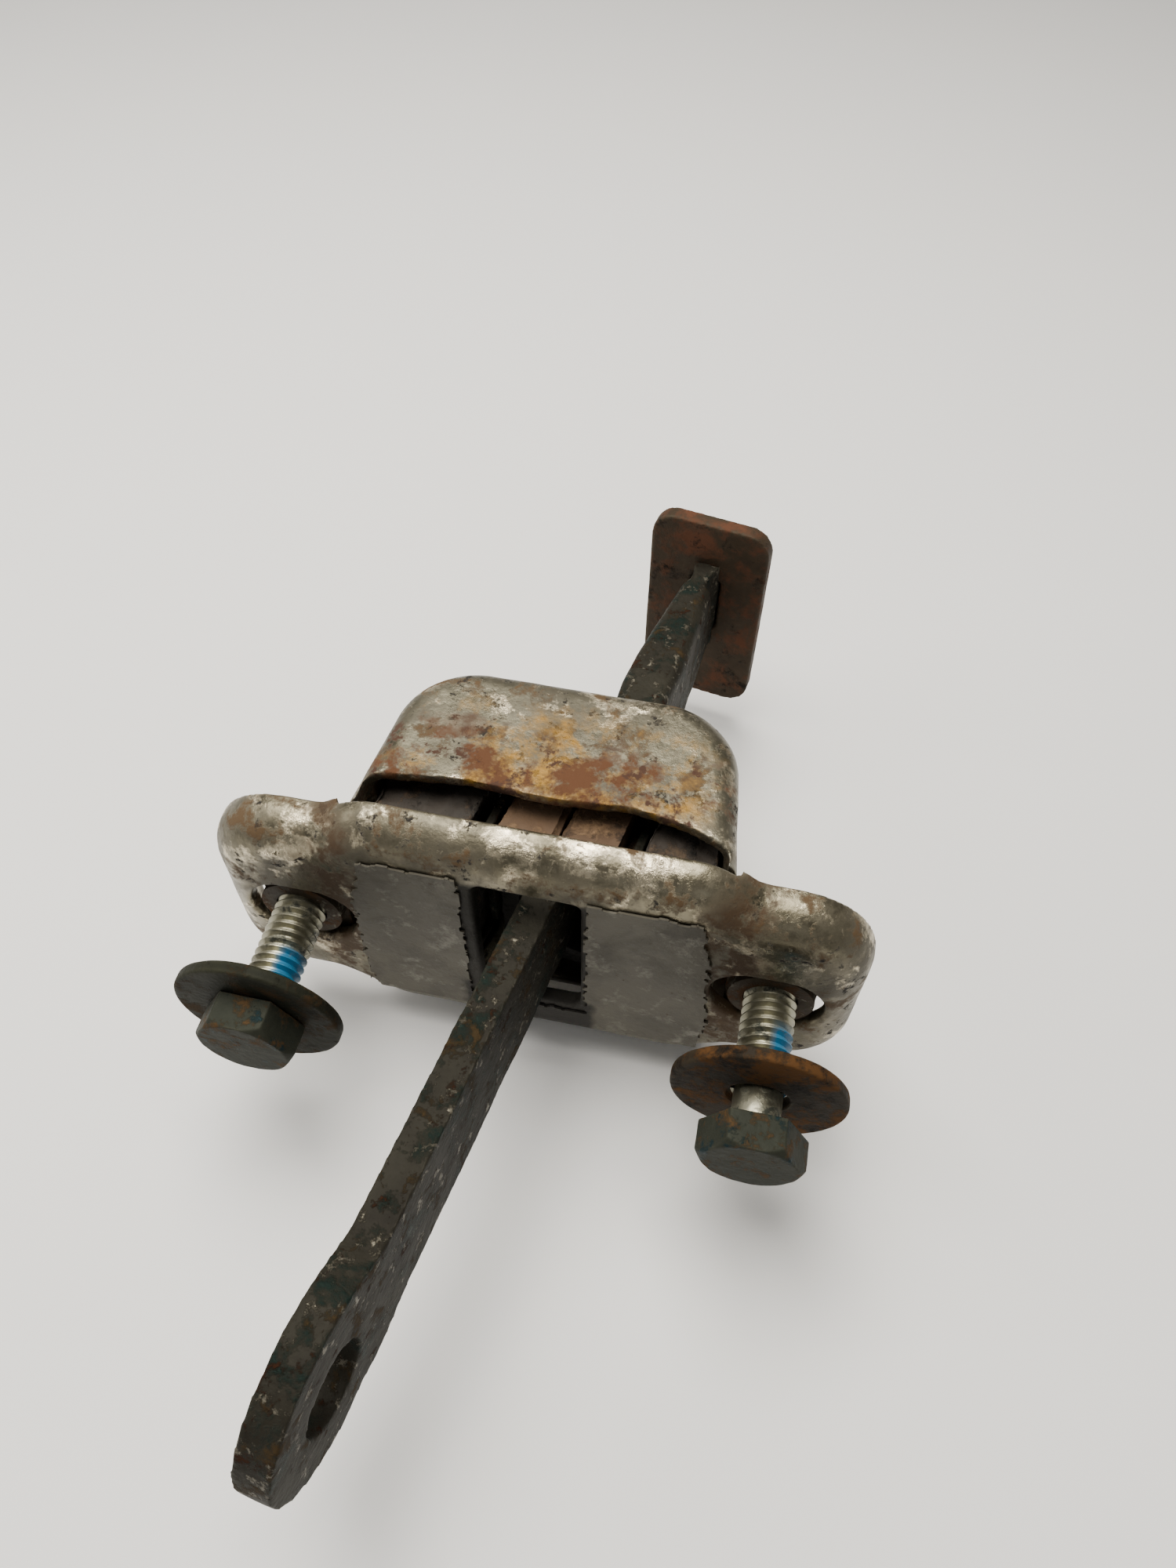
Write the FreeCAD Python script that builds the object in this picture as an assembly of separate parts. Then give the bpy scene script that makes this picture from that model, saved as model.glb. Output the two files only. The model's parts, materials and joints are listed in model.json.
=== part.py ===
import FreeCAD, Part
import math
import os
from FreeCAD import Placement, Rotation, Vector

# Vehicle door check: a stamped plate and a drawn cover hold two rubber-backed shoes that grip
# a sliding check arm. Millimetres. The origin is on the plate's front face, midway between
# the two bolt holes. +X runs along the bolt holes, +Y goes back into the door, +Z is up.

# Mounting plate: a shallow dish with two ears
PLATE_T = 2.0            # sheet thickness
PLATE_BEND_R = 4.5       # outside radius of the rim's bend
CENTRE_HALF_W = 21.5     # centre part, half width
CENTRE_HALF_H = 19.0     # centre part, half height
CENTRE_DEPTH = 4.6       # front face to the rim's rear edge
EAR_REACH = 10.25        # hole centre to the tip of each ear
EAR_TOP = 15.5
EAR_BOTTOM = -14.8
EAR_DEPTH = 5.6
EAR_TIP_R = 9.0
CENTRE_TOP_R = 7.0
CENTRE_LOW_R = 8.0
CHEEK_TOP_W = 4.5        # width over which the edge passes from centre to ear
CHEEK_LOW_W = 7.0
CHEEK_R = 3.0            # inside corner between cheek and ear
HOLE_SPACING = 53.5      # bolt holes, centre to centre
HOLE_L = 12.6            # oblong hole, along X
HOLE_W = 9.8
SLOT_W = 11.6            # arm slot
SLOT_Z = 1.4             # slot centre above the bolt line
SLOT_SWING = 3.8         # room above and below the arm for its swing
SLOT_R = 1.0
LIP_R = 0.4              # rolled edge of each punched hole

# Film of sealing compound on the plate's face
FILM_T = 0.3
FILM_EDGE = 1.3          # bare band beside the slot
FILM_HALF_W = 20.4
FILM_MARGIN = 0.4        # from the start of the bend

# Cover: a drawn box with an open front and two pairs of side legs that stand on the plate
COVER_T = 1.5
COVER_HALF_W = 21.7      # half width at the plate
COVER_TAPER = 2.9        # each side comes in by this much from plate to rear
COVER_HALF_H = 17.0
COVER_REAR = 27.4        # rear face, from the plate's front face
COVER_CORNER_R = 9.5
COVER_EDGE_R = 3.0
RIM_Y = 10.2             # front edge of the top wall; the bottom wall runs on to the legs
RIM_DIP = 2.4            # how far the top edge comes forward at its right end
LEG_HALF_H = 10.0        # leg height where it stands inside the plate's rim
LEG_STEP_Y = 6.0         # where the leg widens to the full height
REAR_SLOT_W = 19.0

# Check arm
ARM_YAW = 10.0           # degrees, turned towards +X at its rear end
ARM_X = 0.25             # arm centre line at the plate's front face
ARM_Z = 1.3
ARM_T = 4.0
ARM_H = 15.0
EYE_S = -46.3            # eye centre, measured along the arm from the plate's face
EYE_R = 10.0
EYE_HOLE_R = 4.2
EYE_OFFSET = -0.4        # sideways step of the eye end
STEP_START = -35.5
STEP_END = -44.5
EYE_BLEND = 6.0          # length over which the strap widens into the eye
RAMP_START = 2.0         # the strap thickens from here
RAMP_END = 36.5          # to here
CREST_T = 6.8
CREST_END = 41.5
HEEL_S = 56.0            # the strap is back to HEEL_T here
HEEL_T = 4.4
STOP_S = 60.4            # stop plate's front face

# Stop plate and the arm's riveted tenon
STOP_W = 16.6
STOP_H = 32.0
STOP_T = 2.4
STOP_Z = -2.3            # stop plate centre below the arm's centre
STOP_CORNER_R = 3.5
TENON_H = 9.0
TENON_HEAD = 1.2
TENON_HEAD_EDGE = 0.9
TENON_CLEARANCE = 0.02

# Shoes, pressure plates and guide, placed round a point on the arm's line
SHOE_S = 13.2
NOSE_CLEARANCE = 0.45    # at rest; the shoes close in as the arm runs back
NOSE_HALF = 2.0
NOSE_R = 2.5
SHOE_SHOULDER = 2.4      # nose to the shoe's full length
SHOE_DEPTH = 4.8         # nose to back
SHOE_LENGTH = 11.0
SHOE_END_GAP = 0.1       # shoe's ends inside the arm's height
PRESSURE_T = 1.0
PRESSURE_LENGTH = 12.6
PRESSURE_H = 20.0
GUIDE_CLEARANCE = 0.25
SHOE_CLOSING = 1.0       # room for the shoes to close in before the guide
GUIDE_WALL = 1.5
GUIDE_BAR = 4.2
GUIDE_GAP = 0.5          # crest to the guide's opening, each side
GUIDE_GROOVE = 0.6

# Rubber blocks between the pressure plates and the cover's walls
RUBBER_GAP = 0.3
RUBBER_FRONT = 5.0
RUBBER_BACK = 17.0
RUBBER_HALF_H = 13.9

# M6 bolts, washers, nuts and their cages
BOLT_R = 2.95
BOLT_LENGTH = 20.0
NECK_R = 2.6
NECK_LENGTH = 4.0
HEAD_AF = 10.0
HEAD_H = 4.0
HEAD_CHAMFER = 0.8
TIP_CHAMFER = 0.7
WASHER_R = 9.4
WASHER_HOLE_R = 3.3
WASHER_T = 1.6
WASHER_EDGE_R = 0.4
NUT_OUTWARD = 0.45       # how far each nut has floated outwards in its hole
NUT_AF = 10.0
NUT_T = 5.0
NUT_BORE_R = 3.0
COLLAR_R = 4.8
COLLAR_DEPTH = 1.6       # how far the collar reaches into the plate
NUT_SEAT = 0.15          # nut body behind the plate
CAGE_T = 0.8
CAGE_CLEARANCE = 0.25
CAGE_FOOT = 3.2
CAGE_LENGTH = 11.6
CAGE_FOOT_LENGTH = 8.0
CAGE_GAP = 0.4           # cage to the notch in the cover's side
CAGE_HOLE_W = 7.2
CAGE_HOLE_L = 9.4
LEFT_HEAD_Y = -13.25     # underside of each bolt head
RIGHT_HEAD_Y = -14.3
LEFT_WASHER_Y = -13.2    # head-side face of each washer
RIGHT_WASHER_Y = -10.95

HOLE_X = HOLE_SPACING / 2
BOLT_X = HOLE_X + NUT_OUTWARD
EAR_TIP = HOLE_X + EAR_REACH
SLOT_H = ARM_H + 2 * SLOT_SWING
SHOE_H = ARM_H - 2 * SHOE_END_GAP
CREST_HALF = CREST_T / 2
CAGE_INNER_Z = NUT_AF / 2 + CAGE_CLEARANCE
CAGE_OUTER_Z = CAGE_INNER_Z + CAGE_T
CAGE_INNER_Y = PLATE_T + NUT_SEAT + NUT_T + CAGE_CLEARANCE
CAGE_REAR_Y = CAGE_INNER_Y + CAGE_T
ARM_FRAME = Placement(Vector(ARM_X, 0, ARM_Z), Rotation(Vector(0, 0, 1), -ARM_YAW))


def in_xz(y):
    """Maps outline coordinates (u, v) to the plane at depth y."""
    return lambda u, v: Vector(u, y, v)


def in_xy(z):
    """Maps outline coordinates (u, v) to the level plane at height z."""
    return lambda u, v: Vector(u, v, z)


def in_yz(x):
    """Maps outline coordinates (u, v) to the upright plane at x."""
    return lambda u, v: Vector(x, u, v)


def outline(corners, place):
    """Closed wire through (u, v, radius) corners; a radius of 0 keeps the corner sharp."""
    entries, exits, middles = [], [], []
    for index, (u, v, radius) in enumerate(corners):
        here = Vector(u, v, 0)
        before = Vector(*corners[index - 1][:2], 0) - here
        after = Vector(*corners[(index + 1) % len(corners)][:2], 0) - here
        before.normalize()
        after.normalize()
        half = before.getAngle(after) / 2
        reach = radius / math.tan(half)
        inward = before + after
        if radius:
            inward.normalize()
        entries.append(here + before * reach)
        exits.append(here + after * reach)
        middles.append(here + inward * (radius / math.sin(half) - radius))
    edges = []
    for index, corner in enumerate(corners):
        entry, leave = (place(p.x, p.y) for p in (entries[index], exits[index]))
        following = entries[(index + 1) % len(corners)]
        if corner[2]:
            middle = place(middles[index].x, middles[index].y)
            edges.append(Part.Arc(entry, middle, leave).toShape())
        if (exits[index] - following).Length > 1e-6:
            edges.append(Part.LineSegment(leave, place(following.x, following.y)).toShape())
    return Part.Wire(edges)


def prism(corners, place, along):
    """Solid made by pulling a rounded outline along a vector."""
    return Part.Face(outline(corners, place)).extrude(along)


def rectangle(u0, u1, v0, v1, radius=0.0):
    return [(u0, v0, radius), (u1, v0, radius), (u1, v1, radius), (u0, v1, radius)]


def box(x0, x1, y0, y1, z0, z1):
    return Part.makeBox(x1 - x0, y1 - y0, z1 - z0, Vector(x0, y0, z0))


def rod(radius, x, y0, y1, z=0.0):
    """Round bar along Y."""
    return Part.makeCylinder(radius, y1 - y0, Vector(x, y0, z), Vector(0, 1, 0))


def edges_at(shape, test):
    """Edges whose every vertex and middle point pass a test."""
    found = []
    for edge in shape.Edges:
        middle = edge.valueAt((edge.FirstParameter + edge.LastParameter) / 2)
        if all(test(p) for p in [middle] + [v.Point for v in edge.Vertexes]):
            found.append(edge)
    return found


def near(value, target):
    return abs(value - target) < 1e-4


def on_arm(shape):
    """Puts a piece made along the arm's own line into the assembly's frame."""
    placed = shape.copy()
    placed.Placement = ARM_FRAME.multiply(placed.Placement)
    return placed


# ---- plate, film and cover ----

def plate_corners(inset):
    """Plate outline, drawn in by inset. Sloping cheeks join the centre to the ears."""
    points = []
    for centre_v, ear_v, width, radius in ((-CENTRE_HALF_H, EAR_BOTTOM, CHEEK_LOW_W, CENTRE_LOW_R),
                                           (CENTRE_HALF_H, EAR_TOP, CHEEK_TOP_W, CENTRE_TOP_R)):
        up = math.copysign(1.0, centre_v)
        lean = inset * math.tan(math.atan2(abs(centre_v - ear_v), width) / 2)
        start = CENTRE_HALF_W - width / 2 - lean
        cheek = [(start, centre_v - up * inset, radius - inset),
                 (start + width, ear_v - up * inset, CHEEK_R + inset),
                 (EAR_TIP - inset, ear_v - up * inset, EAR_TIP_R - inset)]
        points += cheek if up < 0 else list(reversed(cheek))
    return points + [(-u, v, r) for u, v, r in reversed(points)]


def plate_dish(inset, front, bend_r):
    """Solid with the plate's outline and a rounded front edge."""
    depth = EAR_DEPTH + 1.0 - front
    dish = prism(plate_corners(inset), in_xz(front), Vector(0, depth, 0))
    return dish.makeFillet(bend_r, edges_at(dish, lambda p: near(p.y, front)))


def oblong(length, width, x, place, along, z=0.0):
    """Slot with full round ends, its long side along X."""
    half = length / 2
    corners = rectangle(x - half, x + half, z - width / 2, z + width / 2, width / 2 - 1e-3)
    return prism(corners, place, along)


def mounting_plate():
    shell = plate_dish(0.0, 0.0, PLATE_BEND_R)
    shell = shell.cut(plate_dish(PLATE_T, PLATE_T, PLATE_BEND_R - PLATE_T))
    shell = shell.cut(box(-EAR_TIP, EAR_TIP, EAR_DEPTH, EAR_DEPTH + 2, -30, 30))
    shell = shell.cut(box(-CENTRE_HALF_W, CENTRE_HALF_W, CENTRE_DEPTH, EAR_DEPTH + 2, -30, 30))
    through = Vector(0, PLATE_T + 2, 0)
    for side in (-1, 1):
        shell = shell.cut(oblong(HOLE_L, HOLE_W, side * HOLE_X, in_xz(-1), through))
    half = SLOT_W / 2
    slot = rectangle(-half, half, SLOT_Z - SLOT_H / 2, SLOT_Z + SLOT_H / 2, SLOT_R)
    shell = shell.cut(prism(slot, in_xz(-1), through))
    reach = HOLE_X + HOLE_L
    lips = edges_at(shell, lambda p: near(p.y, 0) and abs(p.x) < reach and is_punched(p))
    return shell.makeFillet(LIP_R, lips)


def is_punched(point):
    """True on the rims of the arm slot and the two bolt holes."""
    in_slot = abs(point.x) <= SLOT_W / 2 + 1e-3
    in_slot = in_slot and abs(point.z - SLOT_Z) <= SLOT_H / 2 + 1e-3
    in_hole = abs(abs(point.x) - HOLE_X) <= HOLE_L / 2 + 1e-3
    in_hole = in_hole and abs(point.z) <= HOLE_W / 2 + 1e-3
    return in_slot or in_hole


def face_film():
    """Thin patch on the flat of the plate, open round the arm slot."""
    half_h = CENTRE_HALF_H - PLATE_BEND_R - FILM_MARGIN
    patch = prism(rectangle(-FILM_HALF_W, FILM_HALF_W, -half_h, half_h, 3.0),
                  in_xz(-FILM_T), Vector(0, FILM_T, 0))
    edge = SLOT_W / 2 + FILM_EDGE
    patch = patch.cut(box(-edge, edge, -1, 1, SLOT_Z - SLOT_H / 2 - FILM_EDGE, CENTRE_HALF_H))
    for side in (-1, 1):
        keep_off = oblong(HOLE_L + 1, HOLE_W + 1, side * HOLE_X, in_xz(-1), Vector(0, 2, 0))
        patch = patch.cut(keep_off)
    return patch


def cover_block(inset, front):
    """The cover's outer shape drawn in by inset, from front to rear."""
    lean = COVER_TAPER / (COVER_REAR - PLATE_T)
    front_w = COVER_HALF_W - inset - lean * (front - PLATE_T)
    rear_y = COVER_REAR - inset
    rear_w = COVER_HALF_W - inset - lean * (rear_y - PLATE_T)
    radius = COVER_CORNER_R - inset
    plan = [(-front_w, front, 0), (front_w, front, 0),
            (rear_w, rear_y, radius), (-rear_w, rear_y, radius)]
    height = 2 * (COVER_HALF_H - inset)
    block = prism(plan, in_xy(-height / 2), Vector(0, 0, height))
    edges = edges_at(block, lambda p: near(abs(p.z), height / 2))
    edges = [e for e in edges if not all(near(v.Y, front) for v in e.Vertexes)]
    return block.makeFillet(COVER_EDGE_R - inset, edges)


def housing_cover():
    cover = cover_block(0.0, PLATE_T).cut(cover_block(COVER_T, PLATE_T - 1))
    inside = COVER_HALF_W - COVER_T - 0.2
    dip = RIM_Y - RIM_DIP
    rim = [(-inside, 0, 0), (inside, 0, 0), (inside, dip, 0.8), (inside - 5, RIM_Y - 0.5, 6),
           (9, RIM_Y + 0.5, 9), (0, RIM_Y - 0.2, 12), (-9, RIM_Y + 0.4, 12),
           (-inside, RIM_Y - 0.9, 0.8)]
    cover = cover.cut(prism(rim, in_xy(0), Vector(0, 0, COVER_HALF_H + 1)))
    for side in (-1, 1):
        low, high = sorted((side * LEG_HALF_H, side * (COVER_HALF_H + 1)))
        cover = cover.cut(box(-COVER_HALF_W, COVER_HALF_W, 0, LEG_STEP_Y, low, high))
    notch_z = CAGE_OUTER_Z + CAGE_GAP
    notch_y = CAGE_REAR_Y + CAGE_GAP
    cover = cover.cut(box(-COVER_HALF_W, COVER_HALF_W, 0, notch_y, -notch_z, notch_z))
    half = REAR_SLOT_W / 2
    slot = rectangle(-half, half, SLOT_Z - SLOT_H / 2, SLOT_Z + SLOT_H / 2, SLOT_R)
    return cover.cut(prism(slot, in_xz(COVER_REAR - COVER_T - 1), Vector(0, COVER_T + 2, 0)))


# ---- arm and stop plate ----

def arm_plan():
    """Arm seen from above: the eye's step, the ramp, the crest and the heel."""
    half = ARM_T / 2
    end = EYE_S - EYE_R - 1

    def side(sign):
        return [
            (EYE_OFFSET + sign * half, end, 0),
            (EYE_OFFSET + sign * half, STEP_END, 14),
            (sign * half, STEP_START, 14),
            (sign * half, RAMP_START, 30),
            (sign * CREST_HALF, RAMP_END, 10),
            (sign * CREST_HALF, CREST_END, 6),
            (sign * HEEL_T / 2, HEEL_S, 6),
            (sign * half, STOP_S, 0),
        ]

    return side(1) + list(reversed(side(-1)))


def check_arm():
    tall = ARM_H + 2 * EYE_R
    plan = prism(arm_plan(), in_xy(-tall / 2), Vector(0, 0, tall))
    tip = EYE_S - EYE_R
    neck = EYE_S + EYE_R * 0.5
    profile = [
        (tip, -EYE_R, EYE_R - 1e-2), (neck, -EYE_R, 8), (neck + EYE_BLEND, -ARM_H / 2, 8),
        (STOP_S, -ARM_H / 2, 0), (STOP_S, ARM_H / 2, 0),
        (neck + EYE_BLEND, ARM_H / 2, 8), (neck, EYE_R, 8), (tip, EYE_R, EYE_R - 1e-2),
    ]
    wide = CREST_T + 10
    arm = plan.common(prism(profile, in_yz(-wide / 2), Vector(wide, 0, 0)))
    hole = Part.makeCylinder(EYE_HOLE_R, wide, Vector(-wide / 2, EYE_S, 0), Vector(1, 0, 0))
    arm = arm.cut(hole)
    tenon_end = STOP_S + STOP_T
    tenon = box(-ARM_T / 2, ARM_T / 2, STOP_S - 1, tenon_end, -TENON_H / 2, TENON_H / 2)
    reach = ARM_T / 2 + TENON_HEAD_EDGE
    tall_half = TENON_H / 2 + TENON_HEAD_EDGE
    head = box(-reach, reach, tenon_end, tenon_end + TENON_HEAD, -tall_half, tall_half)
    head = head.makeFillet(TENON_HEAD_EDGE, edges_at(
        head, lambda p: near(p.y, tenon_end + TENON_HEAD)))
    return on_arm(arm.fuse([tenon, head]).removeSplitter())


def stop_plate():
    z0 = STOP_Z - STOP_H / 2
    outer = rectangle(-STOP_W / 2, STOP_W / 2, z0, z0 + STOP_H, STOP_CORNER_R)
    plate = prism(outer, in_xz(STOP_S), Vector(0, STOP_T, 0))
    half_w = ARM_T / 2 + TENON_CLEARANCE
    half_h = TENON_H / 2 + TENON_CLEARANCE
    hole = box(-half_w, half_w, STOP_S - 1, STOP_S + STOP_T + 1, -half_h, half_h)
    return on_arm(plate.cut(hole))


# ---- shoes, pressure plates, guide and rubber ----

def half_thickness(s):
    """Half the strap's thickness on the ramp, at a distance s along the arm."""
    share = (s - RAMP_START) / (RAMP_END - RAMP_START)
    return ARM_T / 2 + share * (CREST_T - ARM_T) / 2


NOSE = half_thickness(SHOE_S) + NOSE_CLEARANCE
SHOE_BACK = NOSE + SHOE_DEPTH
PRESSURE_BACK = SHOE_BACK + PRESSURE_T


def shoe(side):
    half = SHOE_LENGTH / 2
    shoulder = NOSE + SHOE_SHOULDER
    plan = [
        (side * SHOE_BACK, SHOE_S - half, 0.8), (side * SHOE_BACK, SHOE_S + half, 0.8),
        (side * shoulder, SHOE_S + half, 0.8), (side * NOSE, SHOE_S + NOSE_HALF, NOSE_R),
        (side * NOSE, SHOE_S - NOSE_HALF, NOSE_R), (side * shoulder, SHOE_S - half, 0.8),
    ]
    return on_arm(prism(plan, in_xy(-SHOE_H / 2), Vector(0, 0, SHOE_H)))


def pressure_plate(side):
    half = PRESSURE_LENGTH / 2
    corners = rectangle(SHOE_S - half, SHOE_S + half, -PRESSURE_H / 2, PRESSURE_H / 2, 1.5)
    return on_arm(prism(corners, in_yz(side * SHOE_BACK), Vector(side * PRESSURE_T, 0, 0)))


def guide_half(side):
    """Half of the frame that keeps the two shoes opposite each other on the arm."""
    inner_s = SHOE_LENGTH / 2 + GUIDE_CLEARANCE
    outer_s = inner_s + GUIDE_WALL
    inner_z = ARM_H / 2 + GUIDE_CLEARANCE
    outer_z = inner_z + GUIDE_BAR
    width = SHOE_BACK - SHOE_CLOSING
    corners = rectangle(SHOE_S - outer_s, SHOE_S + outer_s, -outer_z, outer_z, 1.2)
    frame = prism(corners, in_yz(0), Vector(side * width, 0, 0))
    opening = CREST_HALF + GUIDE_GAP
    low, high = sorted((0, side * opening))
    passage = box(low, high, SHOE_S - outer_s - 1, SHOE_S + outer_s + 1, -inner_z, inner_z)
    low, high = sorted((0, side * (width + 1)))
    pocket = box(low, high, SHOE_S - inner_s, SHOE_S + inner_s, -inner_z, inner_z)
    low, high = sorted((0, side * GUIDE_GROOVE))
    groove = box(low, high, SHOE_S - outer_s, SHOE_S + outer_s,
                 outer_z - GUIDE_GROOVE, outer_z)
    return on_arm(frame.cut(passage).cut(pocket).cut(groove))


def rubber_block(side):
    """Block from the pressure plate's back to the cover's side wall."""
    start = side * (PRESSURE_BACK + RUBBER_GAP)
    yaw = math.radians(ARM_YAW)
    lean = COVER_TAPER / (COVER_REAR - PLATE_T)
    inner, outer = [], []
    for y in (RUBBER_FRONT, RUBBER_BACK):
        s = (y + start * math.sin(yaw)) / math.cos(yaw)
        inner.append((ARM_X + start * math.cos(yaw) + s * math.sin(yaw), y, 1.0))
        outer.append((side * (COVER_HALF_W - COVER_T - lean * (y - PLATE_T)), y, 1.0))
    plan = [inner[0], outer[0], outer[1], inner[1]]
    return prism(plan, in_xy(-RUBBER_HALF_H), Vector(0, 0, 2 * RUBBER_HALF_H))


# ---- fasteners ----

def hexagon(radius, x, place):
    points = [place(x + radius * math.cos(a), radius * math.sin(a))
              for a in (math.radians(60 * k) for k in range(6))]
    return Part.Face(Part.makePolygon(points + points[:1]))


def bolt(x, head_y):
    """Hex bolt along +Y, with a plain neck under its head."""
    corner_r = HEAD_AF / math.sqrt(3)
    head = hexagon(corner_r, x, in_xz(head_y - HEAD_H)).extrude(Vector(0, HEAD_H, 0))
    dome = rod(corner_r, x, head_y - HEAD_H, head_y)
    dome = dome.makeChamfer(HEAD_CHAMFER, edges_at(dome, lambda p: near(p.y, head_y - HEAD_H)))
    neck_end = head_y + NECK_LENGTH
    tip = head_y + BOLT_LENGTH
    thread = rod(BOLT_R, x, neck_end, tip)
    thread = thread.makeChamfer(TIP_CHAMFER, edges_at(thread, lambda p: near(p.y, tip)))
    return head.common(dome).fuse([rod(NECK_R, x, head_y, neck_end), thread])


def washer(x, back_y):
    disc = rod(WASHER_R, x, back_y, back_y + WASHER_T)
    disc = disc.makeFillet(WASHER_EDGE_R, edges_at(
        disc, lambda p: near(p.y, back_y) or near(p.y, back_y + WASHER_T)))
    return disc.cut(rod(WASHER_HOLE_R, x, back_y - 1, back_y + WASHER_T + 1))


def nut(x):
    seat = PLATE_T + NUT_SEAT
    half = NUT_AF / 2
    body = prism(rectangle(x - half, x + half, -half, half, 0.6),
                 in_xz(seat), Vector(0, NUT_T, 0))
    collar = rod(COLLAR_R, x, seat - COLLAR_DEPTH, seat)
    bore = rod(NUT_BORE_R, x, seat - COLLAR_DEPTH - 1, seat + NUT_T + 1)
    return body.fuse(collar).cut(bore)


def nut_cage(x):
    """Hat-shaped strap behind the plate that keeps the nut from turning."""
    half_l = CAGE_LENGTH / 2
    half_foot = CAGE_FOOT_LENGTH / 2
    foot_z = CAGE_OUTER_Z + CAGE_FOOT
    hat = box(x - half_l, x + half_l, PLATE_T, CAGE_REAR_Y, -CAGE_OUTER_Z, CAGE_OUTER_Z)
    foot = box(x - half_foot, x + half_foot, PLATE_T, PLATE_T + CAGE_T, -foot_z, foot_z)
    cavity = box(x - half_l - 1, x + half_l + 1, PLATE_T - 1, CAGE_INNER_Y,
                 -CAGE_INNER_Z, CAGE_INNER_Z)
    hole = oblong(CAGE_HOLE_L, CAGE_HOLE_W, x, in_xz(CAGE_INNER_Y - 1),
                  Vector(0, CAGE_T + 2, 0))
    return hat.fuse(foot).cut(cavity).cut(hole).removeSplitter()


NODES = {
    "mounting_plate": mounting_plate(),
    "housing_cover": housing_cover(),
    "face_film": face_film(),
    "check_arm": check_arm(),
    "stop_plate": stop_plate(),
}
for name, side, head_y, washer_y in (("left", -1, LEFT_HEAD_Y, LEFT_WASHER_Y),
                                     ("right", 1, RIGHT_HEAD_Y, RIGHT_WASHER_Y)):
    NODES["guide_" + name + "_half"] = guide_half(side)
    NODES[name + "_shoe"] = shoe(side)
    NODES[name + "_pressure_plate"] = pressure_plate(side)
    NODES[name + "_rubber_block"] = rubber_block(side)
    NODES[name + "_nut_cage"] = nut_cage(side * HOLE_X)
    NODES[name + "_nut"] = nut(side * BOLT_X)
    NODES[name + "_washer"] = washer(side * BOLT_X, washer_y)
    NODES[name + "_bolt"] = bolt(side * BOLT_X, head_y)

os.makedirs("parts", exist_ok=True)
for name, shape in NODES.items():
    shape.exportStep("parts/" + name + ".step")
    bounds = shape.BoundBox
    print(name, "valid" if shape.isValid() else "INVALID", len(shape.Solids), "solid",
          "%.1f mm3" % shape.Volume, "x %.2f..%.2f" % (bounds.XMin, bounds.XMax),
          "y %.2f..%.2f" % (bounds.YMin, bounds.YMax), "z %.2f..%.2f" % (bounds.ZMin, bounds.ZMax))
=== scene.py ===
import json
import math

import bpy
from mathutils import Matrix, Vector, noise

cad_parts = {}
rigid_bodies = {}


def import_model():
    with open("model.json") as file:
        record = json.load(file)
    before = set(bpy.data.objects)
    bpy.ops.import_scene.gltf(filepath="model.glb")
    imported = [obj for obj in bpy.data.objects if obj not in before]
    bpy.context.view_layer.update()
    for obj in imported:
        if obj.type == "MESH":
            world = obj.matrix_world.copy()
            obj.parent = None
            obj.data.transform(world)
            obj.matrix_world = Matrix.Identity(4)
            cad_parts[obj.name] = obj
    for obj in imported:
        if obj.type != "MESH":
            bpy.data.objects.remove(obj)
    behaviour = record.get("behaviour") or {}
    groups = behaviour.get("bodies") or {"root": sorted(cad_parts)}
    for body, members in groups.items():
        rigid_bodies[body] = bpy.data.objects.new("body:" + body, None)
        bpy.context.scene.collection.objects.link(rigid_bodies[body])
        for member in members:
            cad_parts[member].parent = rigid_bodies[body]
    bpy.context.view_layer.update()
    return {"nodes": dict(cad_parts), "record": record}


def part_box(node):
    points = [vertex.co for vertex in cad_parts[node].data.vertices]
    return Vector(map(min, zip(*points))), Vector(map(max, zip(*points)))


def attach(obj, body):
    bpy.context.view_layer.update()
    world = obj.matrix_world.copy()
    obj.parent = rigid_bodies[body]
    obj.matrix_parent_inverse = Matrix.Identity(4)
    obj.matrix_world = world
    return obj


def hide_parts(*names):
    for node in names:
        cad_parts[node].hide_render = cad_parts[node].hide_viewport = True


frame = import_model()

bl_info = {
    "name": "Vehicle Door Check",
    "version": (1, 0, 0),
    "blender": (4, 5, 0),
    "location": "View3D > Sidebar > Door Check",
    "description": "Finishes and fine shapes for a vehicle door check",
    "category": "Object",
}

NODES = frame["nodes"]
MM = 0.001
SIDES = ("left", "right")
X, Y, Z = range(3)
MERGE_DISTANCE = 1e-6
SAME_PLACE = 1e-5
FLAT_ANGLE = math.radians(0.4)


# ---- selection and small modelling steps ----

def select_only(obj):
    """Makes one object the only selected and active one, in object mode."""
    if bpy.context.object and bpy.context.object.mode != "OBJECT":
        bpy.ops.object.mode_set(mode="OBJECT")
    bpy.ops.object.select_all(action="DESELECT")
    obj.select_set(True)
    bpy.context.view_layer.objects.active = obj


def edit(obj, kind="VERT"):
    """Opens one object in edit mode with nothing selected."""
    select_only(obj)
    bpy.ops.object.mode_set(mode="EDIT")
    bpy.ops.mesh.select_mode(type=kind)
    bpy.ops.mesh.select_all(action="DESELECT")


def pick(obj, kind, test):
    """Selects the vertices or faces of a mesh whose place passes a test, in edit mode."""
    edit(obj, kind)
    bpy.ops.object.mode_set(mode="OBJECT")
    mesh = obj.data
    if kind == "VERT":
        for vertex in mesh.vertices:
            vertex.select = bool(test(vertex.co))
    elif kind == "FACE":
        for face in mesh.polygons:
            face.select = bool(test(face.center))
    bpy.ops.object.mode_set(mode="EDIT")


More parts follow.
